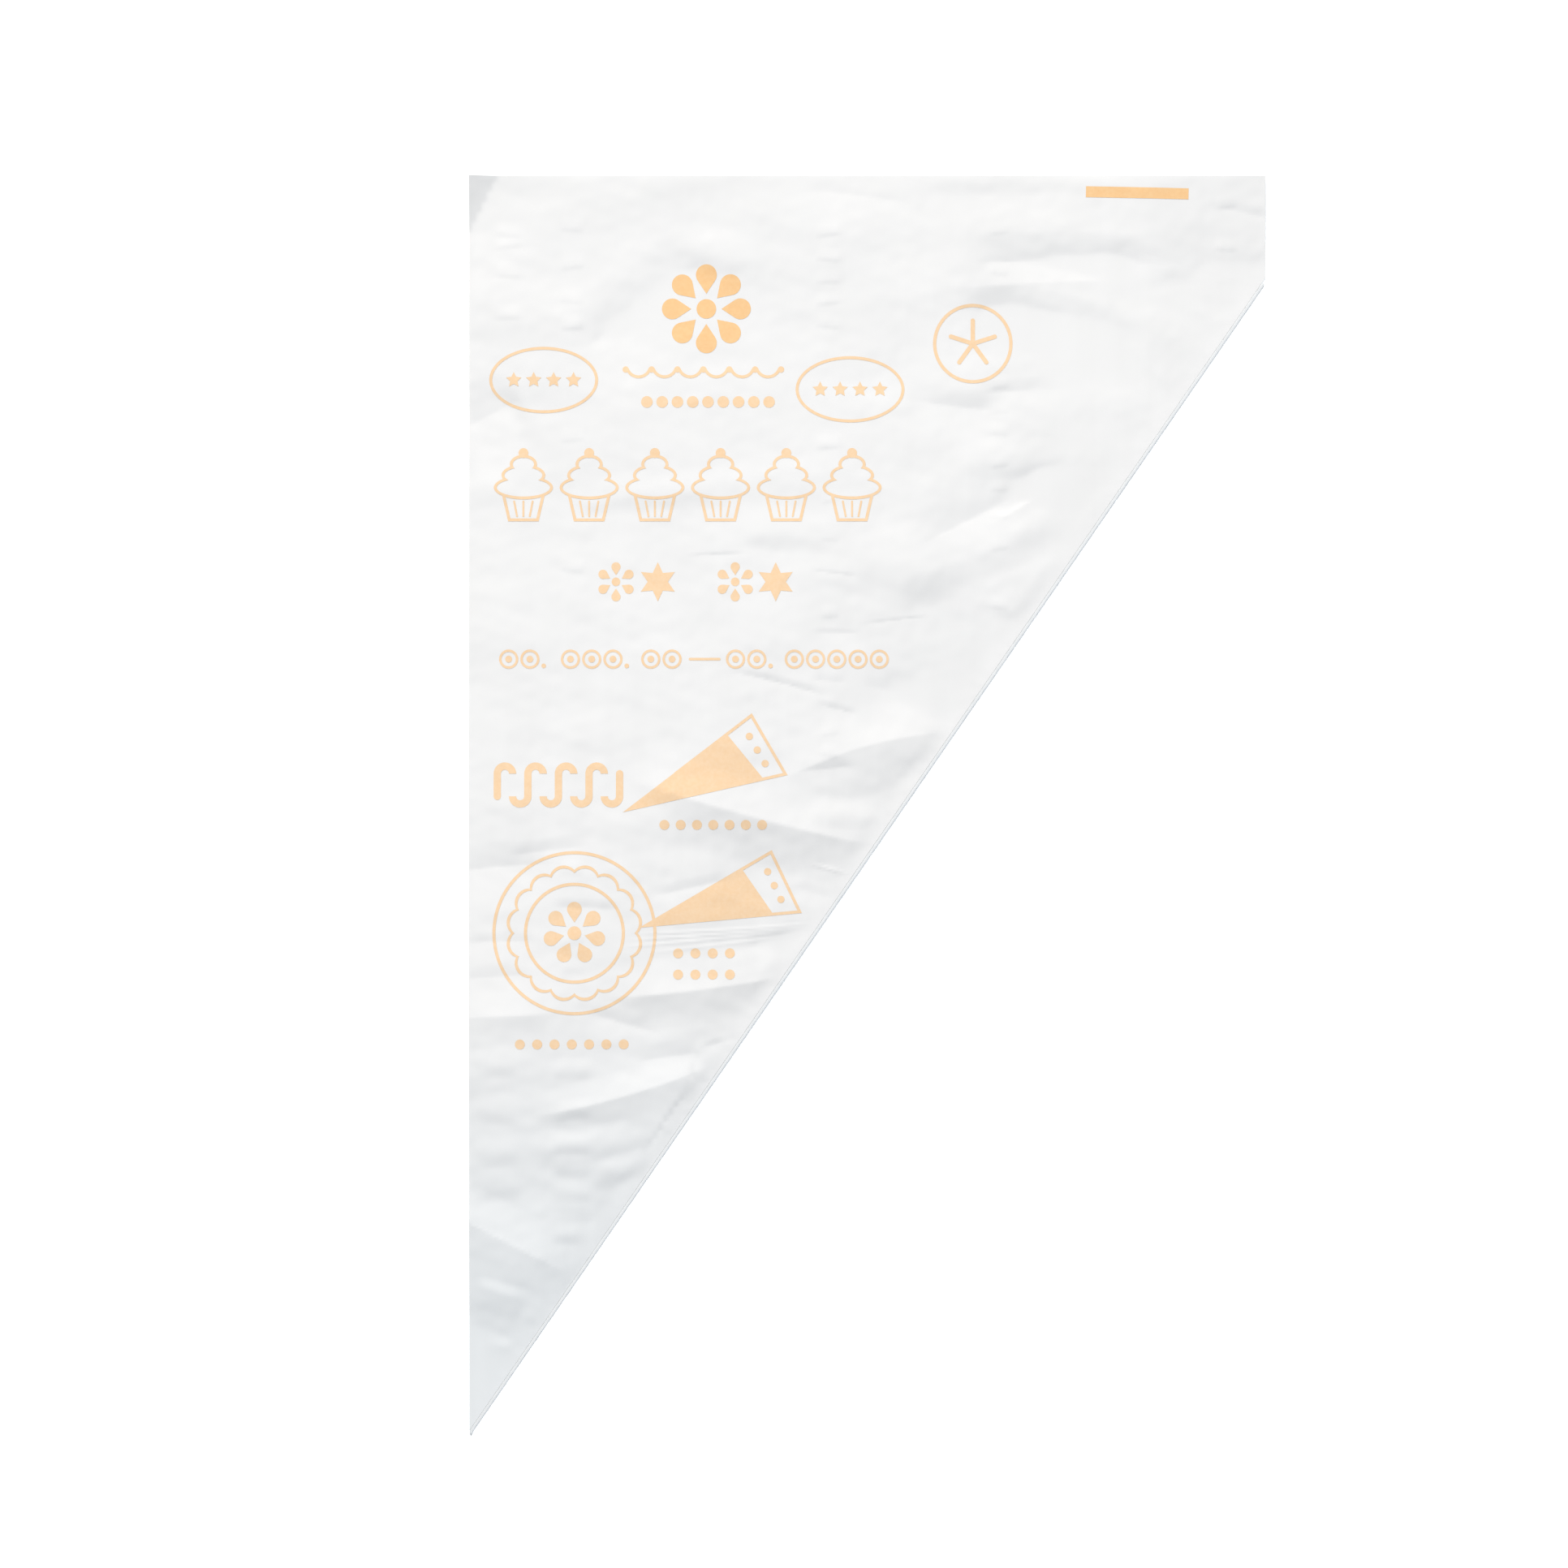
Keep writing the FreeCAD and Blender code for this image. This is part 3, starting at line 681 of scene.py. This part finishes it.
def bead_points():
    """Rings of points around the bead, a little uneven, from the tip to the short folded side."""
    outer_tip = APEX - np.array([0.0, APEX[1]])
    length = np.linalg.norm(WELD_TOP - APEX)
    points = []
    for i in range(BEAD_STEPS + 1):
        along = i / BEAD_STEPS * length
        half = WELD_WIDTH / 2 * (1 + 0.06 * math.sin(along * 1.1) * math.sin(along * 0.37 + 1))
        tall = BEAD_TALL * (1 + 0.12 * math.sin(along * 0.83 + 2.0))
        middle = outer_tip + WELD_ALONG * along + WELD_INWARD * (WELD_WIDTH / 2 - WELD_AIR)
        middle[0] = max(middle[0], half * WELD_ALONG[1])
        base = float(lying(np.array([middle[0]]), np.array([middle[1]]))[0]) + FILM
        to_an_end = min(along, length - along)
        end = min(1.0, (to_an_end + 0.25) / BEAD_NARROWS)
        for k in range(BEAD_AROUND):
            angle = 2 * math.pi * k / BEAD_AROUND
            place = middle + WELD_INWARD * half * end * squared(math.cos(angle))
            points.append(in_frame(place, max(0.0, base + tall * end * squared(math.sin(angle)))))
    return points


def bead_faces():
    """The bead's sides, ring by ring, and its two ends."""
    faces = []
    for i in range(BEAD_STEPS):
        for k in range(BEAD_AROUND):
            a = i * BEAD_AROUND + k
            b = i * BEAD_AROUND + (k + 1) % BEAD_AROUND
            faces.append((a, a + BEAD_AROUND, b + BEAD_AROUND, b))
    faces.append(list(range(BEAD_AROUND)))
    faces.append([BEAD_STEPS * BEAD_AROUND + k for k in reversed(range(BEAD_AROUND))])
    return faces


def weld_bead():
    """The fused edge, as a low rounded bead on the slanted side."""
    mesh = bpy.data.meshes.new("slanted_weld")
    mesh.from_pydata(bead_points(), [], bead_faces())
    shape = bmesh.new()
    shape.from_mesh(mesh)
    bmesh.ops.recalc_face_normals(shape, faces=shape.faces[:])
    shape.to_mesh(mesh)
    shape.free()
    mesh.polygons.foreach_set("use_smooth", [True] * len(mesh.polygons))
    mesh.materials.append(weld)
    piece = bpy.data.objects.new("slanted_weld", mesh)
    bpy.context.scene.collection.objects.link(piece)
    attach(piece, "back_right")
    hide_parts("slant_weld")


weld_bead()


# ---- the print ----
UPWARD = 0.9                 # a face whose normal rises more than this is on top
CREASE_GAP = 0.06            # the two halves of a patch end this close to the crease in the CAD model


def patches():
    """The CAD model's patches of ink as {patch: [nodes]}. A patch that crosses a crease is two nodes."""
    found = {}
    for node in sorted(nodes):
        if node.endswith("_wall") or node == "slant_weld":
            continue
        patch = node
        for side in ("_left", "_right", "_corner"):
            patch = patch.removesuffix(side)
        found.setdefault(patch, []).append(node)
    return found


def cut_into_cells(flat):
    """Cuts the flat mesh across and along into cells, so that it can follow the film."""
    for axis in (0, 1):
        low = min(vert.co[axis] for vert in flat.verts)
        high = max(vert.co[axis] for vert in flat.verts)
        outward = [0.0, 0.0]
        outward[axis] = 1.0
        for i in range(1, int((high - low) / INK_CELL) + 1):
            place = [0.0, 0.0]
            place[axis] = low + i * INK_CELL
            cut(flat, place, outward, clear=False)


def flat_patch(members):
    """The upper faces of these CAD nodes as one flat mesh in (u, v), joined at the centre crease."""
    flat = bmesh.new()
    for node in members:
        flat.from_mesh(nodes[node].data)
    other_faces = [face for face in flat.faces if face.normal.z < UPWARD]
    bmesh.ops.delete(flat, geom=other_faces, context="FACES")
    loose = [vert for vert in flat.verts if not vert.link_faces]
    bmesh.ops.delete(flat, geom=loose, context="VERTS")
    for vert in flat.verts:
        place = on_bag(vert.co)
        off_crease = float((place - APEX) @ CENTRE_ACROSS)
        if abs(off_crease) < CREASE_GAP:
            place = place - CENTRE_ACROSS * off_crease
        vert.co = (place[0], place[1], 0)
    bmesh.ops.remove_doubles(flat, verts=flat.verts[:], dist=1e-4)
    cut_into_cells(flat)
    flat.normal_update()
    return flat


def ink_top(u, v):
    return front_top(u, v) + INK_LIFT


for patch, members in patches().items():
    ink = solid_ink if patch in SOLID_PATCHES else thin_ink
    piece = shell("print_" + patch, flat_patch(members), ink_top, INK, ink)
    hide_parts(*members)
    if nodes[members[0]]["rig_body"] == "front_corner":
        bend_at_corner(piece)
    else:
        bend_at_centre(piece)


# ---- the area of each wall's corner film ----
def triangle_area(a, b, c):
    return abs((b[0] - a[0]) * (c[1] - a[1]) - (c[0] - a[0]) * (b[1] - a[1])) / 2


# The corner crease leans by this much of u, which is negative, on its way from the weld's end to the mouth.
corner_lean = (LENGTH - WELD_TOP[1]) * CORNER_ALONG[0] / CORNER_ALONG[1]
corner_area = triangle_area(WELD_TOP, (WIDTH + corner_lean, LENGTH), (WIDTH, LENGTH))
corner_area += SEAM * np.hypot(corner_lean, LENGTH - WELD_TOP[1])


# ---- table, light and camera ----
VIEW_CENTRE = (94.9, 196.7)        # (u, v) at the middle of the picture
VIEW_WIDTH = 472.8                 # of table across the picture
LENS = 110.0                       # on a sensor of the width below
SENSOR = 36.0

# Metres, watts and light strengths.
TABLE_HALF = 6.0                   # half the table's width
TABLE_GAP = 0.00003                # between the bag's lowest point and the table
TABLE_GLOW = 0.15
WORLD_LEVEL = 0.45
WORLD_COLOUR = (0.72, 0.86, 1.0, 1)
KEY_PLACE = (-1.1, 3.3, 2.2)
KEY_SIZE = 2.4
KEY_POWER = 345.0
KEY_COLOUR = (1.0, 0.975, 0.93)
OVERHEAD_PLACE = (0.2, -0.2, 2.2)
OVERHEAD_SIZE = 1.6
OVERHEAD_POWER = 21.0
OVERHEAD_COLOUR = (1.0, 1.0, 1.0)
TABLE_COLOURS = ((0.925, 0.927, 0.93), (0.94, 0.94, 0.94))


def table_top():
    """A pale matt table, larger than any view, lit a little from below as a light table is."""
    material, tree, shader, places = new_material("pale_table")
    grain = noise_node(tree, places, 14, 2.0)
    tree.links.new(between(tree, grain, *TABLE_COLOURS), shader.inputs["Base Color"])
    shader.inputs["Roughness"].default_value = 0.8
    shader.inputs["Specular IOR Level"].default_value = 0.2
    shader.inputs["Emission Color"].default_value = (1, 1, 1, 1)
    shader.inputs["Emission Strength"].default_value = TABLE_GLOW
    flat = bmesh.new()
    bmesh.ops.create_grid(flat, x_segments=4, y_segments=4, size=TABLE_HALF)
    mesh = bpy.data.meshes.new("table_top")
    flat.to_mesh(mesh)
    flat.free()
    mesh.materials.append(material)
    top = bpy.data.objects.new("table_top", mesh)
    top.location.z = cad_low.z - TABLE_GAP
    bpy.context.scene.collection.objects.link(top)


def area_light(name, place, size, power, colour):
    """A square soft light at a place, in metres, aimed at the bag."""
    data = bpy.data.lights.new(name, "AREA")
    data.shape = "SQUARE"
    data.size = size
    data.energy = power
    data.color = colour
    lamp = bpy.data.objects.new(name, data)
    lamp.location = place
    lamp.rotation_mode = "QUATERNION"
    lamp.rotation_quaternion = (-Vector(place)).to_track_quat("-Z", "Y")
    bpy.context.scene.collection.objects.link(lamp)


def studio():
    """A large soft key from beyond the mouth, a soft overhead light, and cool light all round."""
    world = bpy.data.worlds.new("studio")
    world.use_nodes = True
    backdrop = world.node_tree.nodes["Background"]
    backdrop.inputs["Color"].default_value = WORLD_COLOUR
    backdrop.inputs["Strength"].default_value = WORLD_LEVEL
    bpy.context.scene.world = world
    area_light("key", KEY_PLACE, KEY_SIZE, KEY_POWER, KEY_COLOUR)
    area_light("overhead", OVERHEAD_PLACE, OVERHEAD_SIZE, OVERHEAD_POWER, OVERHEAD_COLOUR)


def camera():
    """Straight above the bag, as far off as a long lens needs."""
    data = bpy.data.cameras.new("camera")
    data.lens = LENS
    data.sensor_width = SENSOR
    data.clip_start = 0.05
    data.clip_end = 20
    viewer = bpy.data.objects.new("camera", data)
    viewer.location = in_frame(VIEW_CENTRE, VIEW_WIDTH * LENS / SENSOR)
    bpy.context.scene.collection.objects.link(viewer)
    bpy.context.scene.camera = viewer


table_top()
studio()
camera()
bpy.context.scene.view_settings.view_transform = "Standard"
